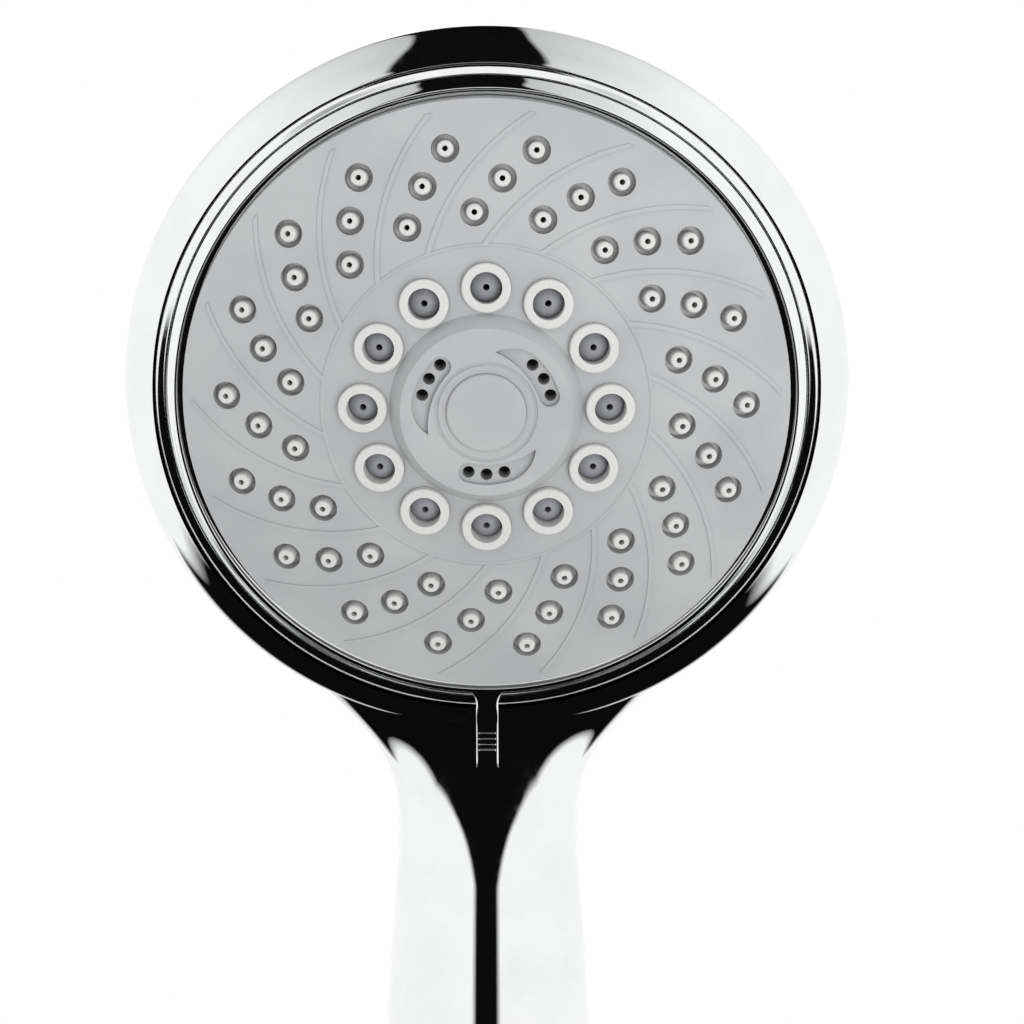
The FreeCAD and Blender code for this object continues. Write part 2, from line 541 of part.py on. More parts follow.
def waterway_tube():
    """The plastic tube that carries the water up the handle and into the elbow."""
    low = Vector(0, 0, NIPPLE_TOP - 8.0)
    high = HEAD_PLACE.multVec(Vector(0, SPIGOT_END + 8.0, TUBE_AXIS))
    lean = Vector(0, -SINE, COSINE)
    corner = high - lean * (high.y / lean.y)
    run = min(corner.z - low.z, (high - corner).Length) * 0.8
    a, b = corner - Vector(0, 0, run), corner + lean * run
    radius = run / math.tan(math.radians(FACE_TILT) / 2)
    centre = a - Vector(0, radius, 0)
    middle = centre + (corner - centre).normalize() * radius
    path = Part.Wire([Part.makeLine(low, a), Part.Arc(a, middle, b).toShape(), Part.makeLine(b, high)])

    def pipe(r):
        return path.makePipeShell([Part.Wire(Part.Circle(low, Vector(0, 0, 1), r).toShape())], True, False)
    return pipe(TUBE_RADIUS).cut(pipe(TUBE_BORE))


def inlet_nipple():
    """Chromed G1/2 nipple: thread, flange and a plug that seals inside the handle."""
    plug = HANDLE_OVALS[0][1] - WALL - 0.15
    nipple = turned((6.6, 7.2), (8.3, 7.2), (8.3, 0), (THREAD_RADIUS, 0),
                    (THREAD_RADIUS, THREAD_LENGTH), (11.9, THREAD_LENGTH + 0.4), (11.9, HANDLE_FOOT - CLEAR),
                    (plug, HANDLE_FOOT - CLEAR), (plug, NIPPLE_TOP), (TUBE_RADIUS + CLEAR, NIPPLE_TOP),
                    (TUBE_RADIUS + CLEAR, NIPPLE_TOP - 9), (TUBE_BORE, NIPPLE_TOP - 9), (TUBE_BORE, 9.0), (6.6, 9.0))
    return nipple.cut(ring(plug - 1.2, plug + 1, 19.0, 21.2))


def nipple_o_ring():
    plug = HANDLE_OVALS[0][1] - WALL - 0.15
    return torus(plug - 0.45, 0.7, 20.1)


def flow_restrictor():
    """Disc with metering holes and a grooved rim, seated in the nipple."""
    body = turned((1.6, 2.6), (8.2, 2.6), (8.2, 3.6), (7.2, 3.6), (7.2, 5.4), (8.2, 5.4), (8.2, 7.15), (1.6, 7.15))
    return body.cut(around(Part.makeCylinder(0.8, 6, Vector(0, 4.6, 2)), 6))


def restrictor_o_ring():
    return torus(7.75, 0.5, 4.5)


def filter_screen():
    """Plastic ring with crossing bars that keeps grit out of the head."""
    hoop = ring(6.9, 8.15, 1.0, 2.5)
    bars = [Part.makeBox(0.35, 14.4, 0.5, Vector(x * 1.4 - 0.175, -7.2, 1.5)) for x in range(-4, 5)]
    bars += [Part.makeBox(14.4, 0.35, 0.5, Vector(-7.2, y * 1.4 - 0.175, 1.5)) for y in range(-4, 5)]
    inside = ring(0, 7.0, 1.0, 2.5)
    mesh = bars[0].fuse(bars[1:]).common(inside)
    return hoop.fuse(mesh)


HEAD_PIECES = {
    "face_plate": face_plate, "centre_cap": centre_cap, "nozzle_mat": nozzle_mat, "jet_insert": jet_insert,
    "mist_insert": mist_insert, "channel_plate": channel_plate, "pulse_wheel": pulse_wheel,
    "selector_disc": selector_disc, "disc_screws": disc_screws, "bezel_ring": bezel_ring,
    "retaining_washer": retaining_washer, "centre_screw": centre_screw, "valve_base": valve_base,
    "port_seal": port_seal, "port_spring": port_spring, "hub_o_ring": hub_o_ring,
    "detent_leaf": detent_leaf, "inlet_elbow": inlet_elbow, "tube_o_ring": tube_o_ring,
}
HANDLE_PIECES = {
    "body_shell": body_shell, "waterway_tube": waterway_tube, "inlet_nipple": inlet_nipple,
    "nipple_o_ring": nipple_o_ring, "flow_restrictor": flow_restrictor, "restrictor_o_ring": restrictor_o_ring,
    "filter_screen": filter_screen,
}


def main():
    os.makedirs("parts", exist_ok=True)
    for name, make in {**HEAD_PIECES, **HANDLE_PIECES}.items():
        shape = make()
        if name in HEAD_PIECES:
            shape = in_head(shape)
        shape = Part.makeCompound(shape.Solids) if len(shape.Solids) > 1 else shape.Solids[0]
        print(f"{name}: {len(shape.Solids)} solid(s), {len(shape.Faces)} faces, {shape.Volume:.1f} mm3, "
              f"valid {shape.isValid()}", flush=True)
        shape.exportStep(f"parts/{name}.step")


main()
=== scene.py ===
"""Looks of a chromed handheld shower head with a turning spray face.

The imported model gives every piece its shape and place. This script dresses the pieces in their real finishes,
makes the body's outside one smooth surface, rounds the bezel and its tab, cuts the hose thread on the inlet,
and sets up the studio.
"""
import json
import logging
import math
from dataclasses import dataclass, field
from enum import Enum
from typing import Any, Callable, Sequence

import bmesh
import bpy
from mathutils import Matrix, Vector
from mathutils.bvhtree import BVHTree
from mathutils.interpolate import poly_3d_calc


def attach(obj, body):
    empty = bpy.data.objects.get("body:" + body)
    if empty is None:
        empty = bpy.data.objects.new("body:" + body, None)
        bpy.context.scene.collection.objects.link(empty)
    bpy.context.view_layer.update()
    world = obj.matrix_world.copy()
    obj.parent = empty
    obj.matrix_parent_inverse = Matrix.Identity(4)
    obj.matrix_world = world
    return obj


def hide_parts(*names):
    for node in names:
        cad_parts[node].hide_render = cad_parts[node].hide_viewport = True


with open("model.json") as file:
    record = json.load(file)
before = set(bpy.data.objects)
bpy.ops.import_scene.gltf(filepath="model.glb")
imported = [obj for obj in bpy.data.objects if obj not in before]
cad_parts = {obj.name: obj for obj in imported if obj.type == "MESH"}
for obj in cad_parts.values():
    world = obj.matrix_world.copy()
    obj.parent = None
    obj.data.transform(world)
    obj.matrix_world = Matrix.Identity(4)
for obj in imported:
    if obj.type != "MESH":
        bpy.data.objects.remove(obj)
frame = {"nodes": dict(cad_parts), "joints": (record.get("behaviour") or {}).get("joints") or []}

log = logging.getLogger("shower_head")
Rgba = tuple[float, float, float, float]
Point = tuple[float, float]


def linear(colour: str) -> Rgba:
    """Turns an sRGB hex colour into the linear colour that shaders use.

    Args:
        colour: six hex digits, such as "b9babb".

    Returns:
        Red, green, blue and an alpha of one.
    """
    parts = [int(colour[i:i + 2], 16) / 255 for i in (0, 2, 4)]
    red, green, blue = (c / 12.92 if c <= 0.04045 else ((c + 0.055) / 1.055) ** 2.4 for c in parts)
    return red, green, blue, 1.0


def per_mm(size: float) -> float:
    """Scale of a pattern whose features are this many millimetres across, for coordinates in metres."""
    return 1000.0 / size


def add_node(tree: bpy.types.NodeTree, kind: str, settings: dict[str, Any] | None = None,
             links: dict[Any, Any] | None = None) -> bpy.types.Node:
    """Adds one node to a tree.

    Args:
        tree: the tree that gets the node.
        kind: the node's type name.
        settings: values by input name or number, or by attribute name where there is no such input.
        links: output sockets by the input name or number that each feeds.

    Returns:
        The new node.
    """
    node = tree.nodes.new(kind)
    for key, value in (settings or {}).items():
        if isinstance(key, str) and hasattr(node, key) and key not in node.inputs:
            setattr(node, key, value)
        else:
            node.inputs[key].default_value = value
    for key, socket in (links or {}).items():
        tree.links.new(socket, node.inputs[key])
    return node


def grain(tree: bpy.types.NodeTree, size: float, detail: float = 3.0) -> bpy.types.NodeSocket:
    """Even noise over the piece, with features of the given size in millimetres.

    Args:
        tree: the material's tree.
        size: size of the features in millimetres.
        detail: how many finer layers the noise has.

    Returns:
        The noise's value.
    """
    place = add_node(tree, "ShaderNodeTexCoord")
    noise = add_node(tree, "ShaderNodeTexNoise", {"Scale": per_mm(size), "Detail": detail},
                     {"Vector": place.outputs["Object"]})
    return noise.outputs[0]


def fade(tree: bpy.types.NodeTree, value: bpy.types.NodeSocket, low: float, high: float,
         start: float = 0.3, end: float = 0.7) -> bpy.types.NodeSocket:
    """Lets a varying value fade from one level to another.

    Args:
        tree: the tree of the value.
        value: the varying value.
        low: level where the value is at start.
        high: level where the value is at end.
        start: value that gives low.
        end: value that gives high.

    Returns:
        The faded value.
    """
    node = add_node(tree, "ShaderNodeMapRange",
                    {"From Min": start, "From Max": end, "To Min": low, "To Max": high}, {"Value": value})
    return node.outputs["Result"]


class Finish:
    """A surface finish that can make its material."""

    name: str = "finish"

    def shade(self, tree: bpy.types.NodeTree, shader: bpy.types.Node) -> None:
        """Sets the shader's values and adds the nodes that vary them."""
        raise NotImplementedError

    def material(self) -> bpy.types.Material:
        """The finish as a material, made once.

        Returns:
            The material.
        """
        found = bpy.data.materials.get(self.name)
        if found:
            return found
        made = bpy.data.materials.new(self.name)
        made.use_nodes = True
        tree = made.node_tree
        tree.nodes.clear()
        shader = add_node(tree, "ShaderNodeBsdfPrincipled")
        add_node(tree, "ShaderNodeOutputMaterial", links={"Surface": shader.outputs[0]})
        self.shade(tree, shader)
        return made

    def tone(self, tree: bpy.types.NodeTree, shader: bpy.types.Node, colours: tuple[str, str],
             share: bpy.types.NodeSocket) -> None:
        """Lets the colour drift between two close ones.

        Args:
            tree: the material's tree.
            shader: the shader that gets the colour.
            colours: the main colour and the other one, as sRGB hex.
            share: how much of the other one shows.
        """
        mix = add_node(tree, "ShaderNodeMix",
                       {"data_type": "RGBA", 6: linear(colours[0]), 7: linear(colours[1])}, {0: share})
        tree.links.new(mix.outputs[2], shader.inputs["Base Color"])

    def relief(self, tree: bpy.types.NodeTree, shader: bpy.types.Node, pattern: bpy.types.NodeSocket,
               strength: float, depth: float) -> None:
        """Lets a pattern stand up from the surface.

        Args:
            tree: the material's tree.
            shader: the shader that gets the relief.
            pattern: the pattern's height, from 0 to 1.
            strength: how much of the relief shows.
            depth: height of the relief in millimetres.
        """
        bump = add_node(tree, "ShaderNodeBump", {"Strength": strength, "Distance": depth / 1000},
                        {"Height": pattern})
        tree.links.new(bump.outputs[0], shader.inputs["Normal"])


@dataclass(frozen=True)
class ChromePlate(Finish):
    """Bright decorative chrome over nickel, on polished plastic or turned brass.

    To the eye it is a hard, very slightly cool mirror, which a dried film of water dulls a little in patches.
    """

    name: str = "chrome_plated_abs_polished"
    colour: str = "f4f5f5"
    roughness: float = 0.03
    filmed: str = "eeefef"
    film_patch: float = 9.0
    film_drop: float = 1.6

    def shade(self, tree: bpy.types.NodeTree, shader: bpy.types.Node) -> None:
        """A mirror whose roughness and colour follow the film's patches and the small drops in them.

        Args:
            tree: the material's tree.
            shader: the shader that gets the values.
        """
        film = grain(tree, self.film_patch, 5.0)
        drops = add_node(tree, "ShaderNodeMath", {"operation": "MULTIPLY"},
                         {0: film, 1: grain(tree, self.film_drop, 2.0)})
        tree.links.new(fade(tree, drops.outputs[0], self.roughness, self.roughness * 2.2, 0.22, 0.45),
                       shader.inputs["Roughness"])
        self.tone(tree, shader, (self.colour, self.filmed), fade(tree, film, 0.0, 1.0, 0.45, 0.75))
        shader.inputs["Metallic"].default_value = 1.0


@dataclass(frozen=True)
class MouldedPlastic(Finish):
    """Injection-moulded plastic from a spark-eroded mould.

    To the eye it has soft highlights and a fine even grain. The real grit is about 0.05 mm. It is drawn
    coarser, so that it shows.
    """

    name: str = "abs_moulded_satin_grey"
    colour: str = "a6a7a8"
    shadow: str = "9a9b9d"
    roughness: float = 0.42
    grit: float = 0.22
    relief_strength: float = 0.08
    ior: float = 1.54
    flow_mark: float = 14.0

    def shade(self, tree: bpy.types.NodeTree, shader: bpy.types.Node) -> None:
        """Fine grit in the relief and roughness, and a slow drift of colour from the mould's flow.

        Args:
            tree: the material's tree.
            shader: the shader that gets the values.
        """
        grit = grain(tree, self.grit)
        flow = grain(tree, self.flow_mark, 2.0)
        self.tone(tree, shader, (self.colour, self.shadow), fade(tree, flow, 0.0, 0.8))
        tree.links.new(fade(tree, grit, self.roughness * 0.88, self.roughness * 1.12),
                       shader.inputs["Roughness"])
        self.relief(tree, shader, grit, self.relief_strength, 0.06)
        shader.inputs["IOR"].default_value = self.ior


@dataclass(frozen=True)
class MouldedRubber(Finish):
    """Moulded silicone or EPDM.

    To the eye it has no shine to speak of, and light spreads a little inside the white one. The blasted
    mould's grain is drawn coarser than its real 0.1 mm, so that it shows.
    """

    name: str = "silicone_moulded_white"
    colour: str = "c4c4c2"
    shadow: str = "bababa"
    roughness: float = 0.55
    glow: float = 0.35
    ior: float = 1.41
    grit: float = 0.35
    glow_depth: float = 0.6

    def shade(self, tree: bpy.types.NodeTree, shader: bpy.types.Node) -> None:
        """Soft grain in colour, roughness and relief, and shallow scattering.

        Args:
            tree: the material's tree.
            shader: the shader that gets the values.
        """
        grit = grain(tree, self.grit)
        self.tone(tree, shader, (self.colour, self.shadow), fade(tree, grit, 0.0, 0.7))
        tree.links.new(fade(tree, grit, self.roughness * 0.9, self.roughness * 1.15),
                       shader.inputs["Roughness"])
        self.relief(tree, shader, grit, 0.1, 0.08)
        shader.inputs["IOR"].default_value = self.ior
        if self.glow:
            shader.inputs["Subsurface Weight"].default_value = self.glow
            shader.inputs["Subsurface Radius"].default_value = (1.0, 0.9, 0.8)
            shader.inputs["Subsurface Scale"].default_value = self.glow_depth / 1000


@dataclass(frozen=True)
class DrawnSteel(Finish):
    """Stainless steel as rolled strip, drawn wire or rolled screws.

    To the eye it is bright, with fine lines along it. The real lines are about 0.02 mm apart. They are drawn
    coarser, so that they show.
    """

    name: str = "stainless_steel_drawn"
    colour: str = "c4c5c6"
    roughness: float = 0.24
    line: float = 0.18
    stretch: float = 0.12

    def shade(self, tree: bpy.types.NodeTree, shader: bpy.types.Node) -> None:
        """Fine stretched lines in roughness and relief.

        Args:
            tree: the material's tree.
            shader: the shader that gets the values.
        """
        place = add_node(tree, "ShaderNodeTexCoord")
        pulled = add_node(tree, "ShaderNodeMapping", {"Scale": (1.0, 1.0, self.stretch)},
                          {"Vector": place.outputs["Object"]})
        lines = add_node(tree, "ShaderNodeTexNoise", {"Scale": per_mm(self.line), "Detail": 4.0},
                         {"Vector": pulled.outputs[0]})
        tree.links.new(fade(tree, lines.outputs[0], self.roughness * 0.8, self.roughness * 1.3),
                       shader.inputs["Roughness"])
        self.relief(tree, shader, lines.outputs[0], 0.15, 0.04)
        shader.inputs["Base Color"].default_value = linear(self.colour)
        shader.inputs["Metallic"].default_value = 1.0


class Ware(Enum):
    """The finishes that the shower head is made in."""

    CHROME_ABS = ChromePlate()
    CHROME_BRASS = ChromePlate("chrome_plated_brass_turned", "eaebec", 0.05, "e0e2e3")
    GREY_ABS = MouldedPlastic()
    # Grey acetal of the jets inside the white collars, darker than the plate: partly its own grey, partly
    # painted shade of the recesses the jets sit in.
    GREY_ACETAL_RECESS_SHADE = MouldedPlastic("acetal_grey_painted_recess_shade", "8c8d91", "838488", 0.36, 0.3, 0.05, 1.48)
    # Near-black acetal of the mist insert: its dark colour stands in for the painted shade deep inside the mist
    # holes.
    BLACK_ACETAL_HOLE_SHADE = MouldedPlastic("acetal_black_painted_hole_shade", "161616", "101010", 0.4, 0.3, 0.05, 1.48)
    WHITE_ABS = MouldedPlastic("abs_moulded_white", "e6e6e2", "dcdcd7", 0.3, 0.4, 0.04, 1.54)
    WHITE_ACETAL = MouldedPlastic("acetal_moulded_white", "eeeeea", "e2e2dd", 0.34, 0.35, 0.04, 1.48)
    WHITE_SILICONE = MouldedRubber()
    BLACK_EPDM = MouldedRubber("epdm_moulded_black", "202020", "181818", 0.6, 0.0, 1.5)
    SPRING_STEEL = DrawnSteel("spring_steel_drawn", "b9babc", 0.22, 0.12)
    STAINLESS = DrawnSteel()


def dress(node: str, ware: Ware) -> None:
    """Gives a CAD node its finish.

    Args:
        node: the node's name.
        ware: the finish that it gets.
    """
    piece = frame["nodes"][node]
    material = ware.value.material()
    if not piece.material_slots:
        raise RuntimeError(f"{node} has no material slot")
    for place in piece.material_slots:
        place.material = material
    log.info("dressed %s in %s", node, material.name)


def new_piece(name: str, mesh: bpy.types.Mesh, ware: Ware, body: str) -> bpy.types.Object:
    """Puts a new mesh in the scene as a dressed piece that rides on a body.

    Args:
        name: the piece's name.
        mesh: its mesh, in the row frame.
        ware: its finish.
        body: the CAD body that it rides on.

    Returns:
        The new object.
    """
    piece = bpy.data.objects.new(name, mesh)
    bpy.context.scene.collection.objects.link(piece)
    mesh.materials.append(ware.value.material())
    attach(piece, body)
    log.info("made %s in %s", name, ware.value.name)
    return piece


class Spline:
    """A smooth curve that passes through given values at given places: a natural cubic spline."""

    def __init__(self, places: Sequence[float], values: Sequence[float]) -> None:
        """Fits the curve.

        Args:
            places: rising places along the curve.
            values: the value at each place.
        """
        self.places, self.values = list(places), list(values)
        count = len(self.places)
        gaps = [b - a for a, b in zip(self.places, self.places[1:])]
        ratio, force = [0.0] * count, [0.0] * count
        for i in range(1, count - 1):
            change = ((self.values[i + 1] - self.values[i]) / gaps[i]
                      - (self.values[i] - self.values[i - 1]) / gaps[i - 1])
            weight = 2 * (gaps[i] + gaps[i - 1]) - gaps[i - 1] * ratio[i - 1]
            ratio[i] = gaps[i] / weight
            force[i] = (6 * change - gaps[i - 1] * force[i - 1]) / weight
        self.bends = [0.0] * count
        for i in range(count - 2, 0, -1):
            self.bends[i] = force[i] - ratio[i] * self.bends[i + 1]

    def at(self, place: float) -> float:
        """Value of the curve at a place.

        Args:
            place: the place along the curve.

        Returns:
            The value.
        """
        i = max(0, min(len(self.places) - 2, sum(place >= p for p in self.places) - 1))
        gap = self.places[i + 1] - self.places[i]
        b = (place - self.places[i]) / gap
        a = 1.0 - b
        return (a * self.values[i] + b * self.values[i + 1]
                + ((a ** 3 - a) * self.bends[i] + (b ** 3 - b) * self.bends[i + 1]) * gap * gap / 6)


def smooth_outline(points: Sequence[Point], pieces: int) -> list[Point]:
    """Points along a smooth curve through the given points.

    Args:
        points: radius and height of each given point.
        pieces: how many pieces each gap is parted into.

    Returns:
        The given points with others between them.
    """
    places = [0.0]
    for a, b in zip(points, points[1:]):
        places.append(places[-1] + math.dist(a, b))
    radius = Spline(places, [p[0] for p in points])
    height = Spline(places, [p[1] for p in points])
    fine = [a + (b - a) * n / pieces for a, b in zip(places, places[1:]) for n in range(pieces)]
    return [(radius.at(t), height.at(t)) for t in fine + [places[-1]]]


def head_frame() -> Matrix:
    """The frame of the spray axis: z out of the face, y up it, its origin at the top of the face's dome.

    Returns:
        The frame, from its own axes to the row frame's.
    """
    joint = next(j for j in frame["joints"] if j["name"] == "selector_turn")
    out, side = Vector(joint["axis"]).normalized(), Vector((1.0, 0.0, 0.0))
    place = Matrix((side, out.cross(side), out)).transposed().to_4x4()
    place.translation = Vector(joint["pos_m"])
    return place


def finished_mesh(name: str, grid: bmesh.types.BMesh, crease: float = 38.0) -> bpy.types.Mesh:
    """Turns a bmesh into a mesh with smooth faces that meet sharply past the crease angle.

    Args:
        name: the mesh's name.
        grid: the bmesh, which is freed.
        crease: angle in degrees from which an edge stays sharp.

    Returns:
        The mesh.
    """
    bmesh.ops.recalc_face_normals(grid, faces=grid.faces)
    mesh = bpy.data.meshes.new(name)
    grid.to_mesh(mesh)
    grid.free()
    mesh.polygons.foreach_set("use_smooth", [True] * len(mesh.polygons))
    mesh.set_sharp_from_angle(angle=math.radians(crease))
    return mesh


def turned_mesh(name: str, outline: Sequence[Point], steps: int, place: Matrix) -> bpy.types.Mesh:
    """A solid turned about z.

    Args:
        name: the mesh's name.
        outline: radius and height in millimetres of each point of the closed outline.
        steps: how many steps go round.
        place: the frame that it is turned in.

    Returns:
        The mesh, in metres.
    """
    grid = bmesh.new()
    rings = []
    for radius, height in outline:
        turns = [2 * math.pi * k / steps for k in range(steps if radius > 1e-6 else 1)]
        ring = [Vector((radius * math.cos(a), radius * math.sin(a), height)) / 1000 for a in turns]
        rings.append([grid.verts.new(place @ point) for point in ring])
    for low, high in zip(rings, rings[1:] + rings[:1]):
        for k in range(steps):
            corners = dict.fromkeys((low[k % len(low)], low[(k + 1) % len(low)],
                                     high[(k + 1) % len(high)], high[k % len(high)]))
            if len(corners) > 2:
                grid.faces.new(list(corners))
    return finished_mesh(name, grid)


def lofted_mesh(name: str, rings: Sequence[Sequence[Vector]], crease: float = 38.0) -> bpy.types.Mesh:
    """A closed solid through a row of rings with equally many points.

    Args:
        name: the mesh's name.
        rings: the rings' points, in metres.
        crease: angle in degrees from which an edge stays sharp.

    Returns:
        The mesh.
    """
    grid = bmesh.new()
    rows = [[grid.verts.new(point) for point in ring] for ring in rings]
    for low, high in zip(rows, rows[1:]):
        for k in range(len(low)):
            after = (k + 1) % len(low)
            grid.faces.new((low[k], low[after], high[after], high[k]))
    grid.faces.new(rows[0])
    grid.faces.new(rows[-1])
    return finished_mesh(name, grid, crease)


def carry_normals(mesh: bpy.types.Mesh, sources: Sequence[bpy.types.Mesh]) -> None:
    """Gives each face of a joined mesh the smooth normals of the source face that it was part of.

    Args:
        mesh: the joined mesh.
        sources: the meshes that it was made from.
    """
    trees = [BVHTree.FromPolygons([v.co for v in m.vertices], [p.vertices for p in m.polygons])
             for m in sources]
    normals: list[Vector] = [Vector()] * len(mesh.loops)
    for face in mesh.polygons:
        hits = [tree.find_nearest(face.center) for tree in trees]
        owner = min(range(len(sources)), key=lambda i: hits[i][3])
        source = sources[owner]
        parent = source.polygons[hits[owner][2]]
        corners = [source.vertices[v].co for v in parent.vertices]
        bends = [source.corner_normals[i].vector for i in parent.loop_indices]
        side = 1.0 if face.normal.dot(parent.normal) > 0 else -1.0
        for loop, vertex in zip(face.loop_indices, face.vertices):
            weights = poly_3d_calc(corners, mesh.vertices[vertex].co)
            normals[loop] = side * sum((w * n for w, n in zip(weights, bends)), Vector()).normalized()
    mesh.polygons.foreach_set("use_smooth", [True] * len(mesh.polygons))
    mesh.normals_split_custom_set(normals)


def combined(name: str, base: bpy.types.Mesh, adds: Sequence[bpy.types.Mesh] = (),
             cuts: Sequence[bpy.types.Mesh] = ()) -> bpy.types.Mesh:
    """One closed mesh from several solids, with their own smooth normals kept.

    Args:
        name: the new mesh's name.
        base: the first solid.
        adds: solids that are joined to it.
        cuts: solids that are then taken away.

    Returns:
        The mesh.
    """
    def put(mesh: bpy.types.Mesh) -> bpy.types.Object:
        """Puts a mesh in the scene for as long as the joining takes.

        Args:
            mesh: the mesh.

        Returns:
            The object that holds it.
        """
        thing = bpy.data.objects.new(mesh.name, mesh)
        bpy.context.scene.collection.objects.link(thing)
        return thing

    holder = put(base)
    tools = []
    for mesh, operation in [(m, "UNION") for m in adds] + [(m, "DIFFERENCE") for m in cuts]:
        tools.append(put(mesh))
        step = holder.modifiers.new(mesh.name, "BOOLEAN")
        step.object, step.operation, step.solver = tools[-1], operation, "EXACT"
    graph = bpy.context.evaluated_depsgraph_get()
    result = bpy.data.meshes.new_from_object(holder.evaluated_get(graph))
    result.name = name
    result.materials.clear()
    carry_normals(result, [base, *adds, *cuts])
    for thing in [holder, *tools]:
        bpy.data.objects.remove(thing)
    return result


@dataclass
class SprayFace:
    """The turning face: grey plate, white nozzles and collars, grey jets whose darker grey is partly painted
    shade of their recesses, and the cap.
    """

    wares: dict[str, Ware] = field(default_factory=lambda: {
        # jet_insert is darker than the plate: partly its own grey, partly painted shade of the recesses inside
        # the collars.
        "face_plate": Ware.GREY_ABS, "centre_cap": Ware.GREY_ABS, "jet_insert": Ware.GREY_ACETAL_RECESS_SHADE,
        # mist_insert's near-black is painted shade for the deep mist holes in front of it.
        "mist_insert": Ware.BLACK_ACETAL_HOLE_SHADE, "nozzle_mat": Ware.WHITE_SILICONE})

    def build(self) -> None:
        """Dresses the face's pieces."""
        for node, ware in self.wares.items():
            dress(node, ware)


@dataclass
class Bezel:
    """The chromed ring with its thumb tab. Sizes in millimetres, in the frame of the spray axis."""

    edge: float = 51.35
    lip_inner: float = 53.75
    lip_outer: float = 55.3
    lip_back: float = -17.65
    shelf: float = 49.4
    tab_root: float = 51.9
    tab_half: float = 1.9
    tab_flare: float = 1.1
    flare_reach: float = 2.6
    corner: float = 0.55
    corner_steps: int = 6
    rungs: tuple[Point, ...] = ((60.4, -12.02), (61.6, -12.52), (62.8, -13.04), (64.0, -13.54))
    rung: float = 0.22
    rung_end: float = 0.12
    crease: float = 50.0
    steps: int = 256

    def ring_outline(self) -> list[Point]:
        """Closed outline of the ring: rounded inner edge, bulging slope, a fine step and the rounded lip.

        Returns:
            Radius and height of each point.
        """
        slope = smooth_outline([(self.edge, -9.62), (self.edge + 0.12, -9.34), (self.edge + 0.42, -9.25),
                                (52.6, -9.95), (53.4, -10.9), (self.lip_inner, -11.42)], 6)
        lip = smooth_outline([(self.lip_inner + 0.06, -11.44), (54.5, -11.57), (55.05, -11.72),
                              (55.24, -11.85), (self.lip_outer, -12.15)], 6)
        return [(self.shelf, -10.6), (self.edge, -10.6), *slope, *lip, (self.lip_outer, self.lip_back),
                (54.15, self.lip_back), (54.0, -13.4), (52.4, -11.9), (self.shelf, -11.9)]

    def tab_mesh(self, place: Matrix) -> bpy.types.Mesh:
        """The thumb tab: a bar with rounded edges that widens where it leaves the ring.

        Args:
            place: the frame of the spray axis.

        Returns:
            The tab's mesh.
        """
        front = smooth_outline([(self.tab_root, -9.35), (53.6, -9.45), (55.7, -9.9), (58.8, -11.25),
                                (62.0, -12.65), (66.2, -14.45), (67.5, -15.15), (67.95, -15.9)], 6)
        back = smooth_outline([(self.tab_root, -11.2), (53.6, -11.5), (55.5, -10.75), (58.9, -12.8),
                               (61.6, -14.7), (64.5, -16.2), (66.8, -16.95), (67.75, -16.35)], 6)
        rings = []
        for (fr, fz), (br, bz) in zip(front, back):
            top, low = Vector((0, -fr, fz)), Vector((0, -br, bz))
            flare = max(0.0, 1.0 - (fr - self.tab_root) / self.flare_reach)
            half = self.tab_half + self.tab_flare * flare ** 2
            tall = (top - low).length / 2
            round_off = min(self.corner, tall * 0.9)
            middle, up = (top + low) / 2, (top - low).normalized()
            ring = []
            for quarter, (sx, sy) in enumerate(((1, 1), (1, -1), (-1, -1), (-1, 1))):
                for n in range(self.corner_steps + 1):
                    angle = math.pi / 2 - (quarter + n / self.corner_steps) * math.pi / 2
                    x = sx * (half - round_off) + round_off * math.cos(angle)
                    y = sy * (tall - round_off) + round_off * math.sin(angle)
                    ring.append(place @ ((middle + up * y + Vector((x, 0, 0))) / 1000))
            rings.append(ring)
        return lofted_mesh("tab", rings, self.crease)

    def rung_mesh(self, place: Matrix, radius: float, height: float) -> bpy.types.Mesh:
        """One rounded rung across the tab's front.

        Args:
            place: the frame of the spray axis.
            radius: distance of the rung from the axis.
            height: height of the rung's middle line.

        Returns:
            The rung's mesh.
        """
        half = self.tab_half - self.corner
        rings = []
        ends = half + self.rung_end
        for x, size in ((-ends, 0.3), (-half, 1.0), (half, 1.0), (ends, 0.3)):
            rings.append([place @ (Vector((x, -radius + self.rung * size * math.cos(a),
                                           height + self.rung * size * math.sin(a))) / 1000)
                          for a in (2 * math.pi * k / 16 for k in range(16))])
        return lofted_mesh("rung", rings, self.crease)

    def build(self) -> None:
        """Turns the ring, adds tab and rungs, and puts them in the plain ring's place."""
        place = head_frame()
        ring = turned_mesh("ring", self.ring_outline(), self.steps, place)
        rungs = [self.rung_mesh(place, radius, height) for radius, height in self.rungs]
        mesh = combined("bezel_ring_rounded", ring, [self.tab_mesh(place), *rungs])
        piece = new_piece("bezel_ring_rounded", mesh, Ware.CHROME_ABS, "spray_face")
        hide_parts("bezel_ring")


@dataclass(frozen=True)
class Oval:
    """One cross-section that the handle runs through, in millimetres."""

    height: float
    half_width: float
    half_depth: float
    forward: float = 0.0


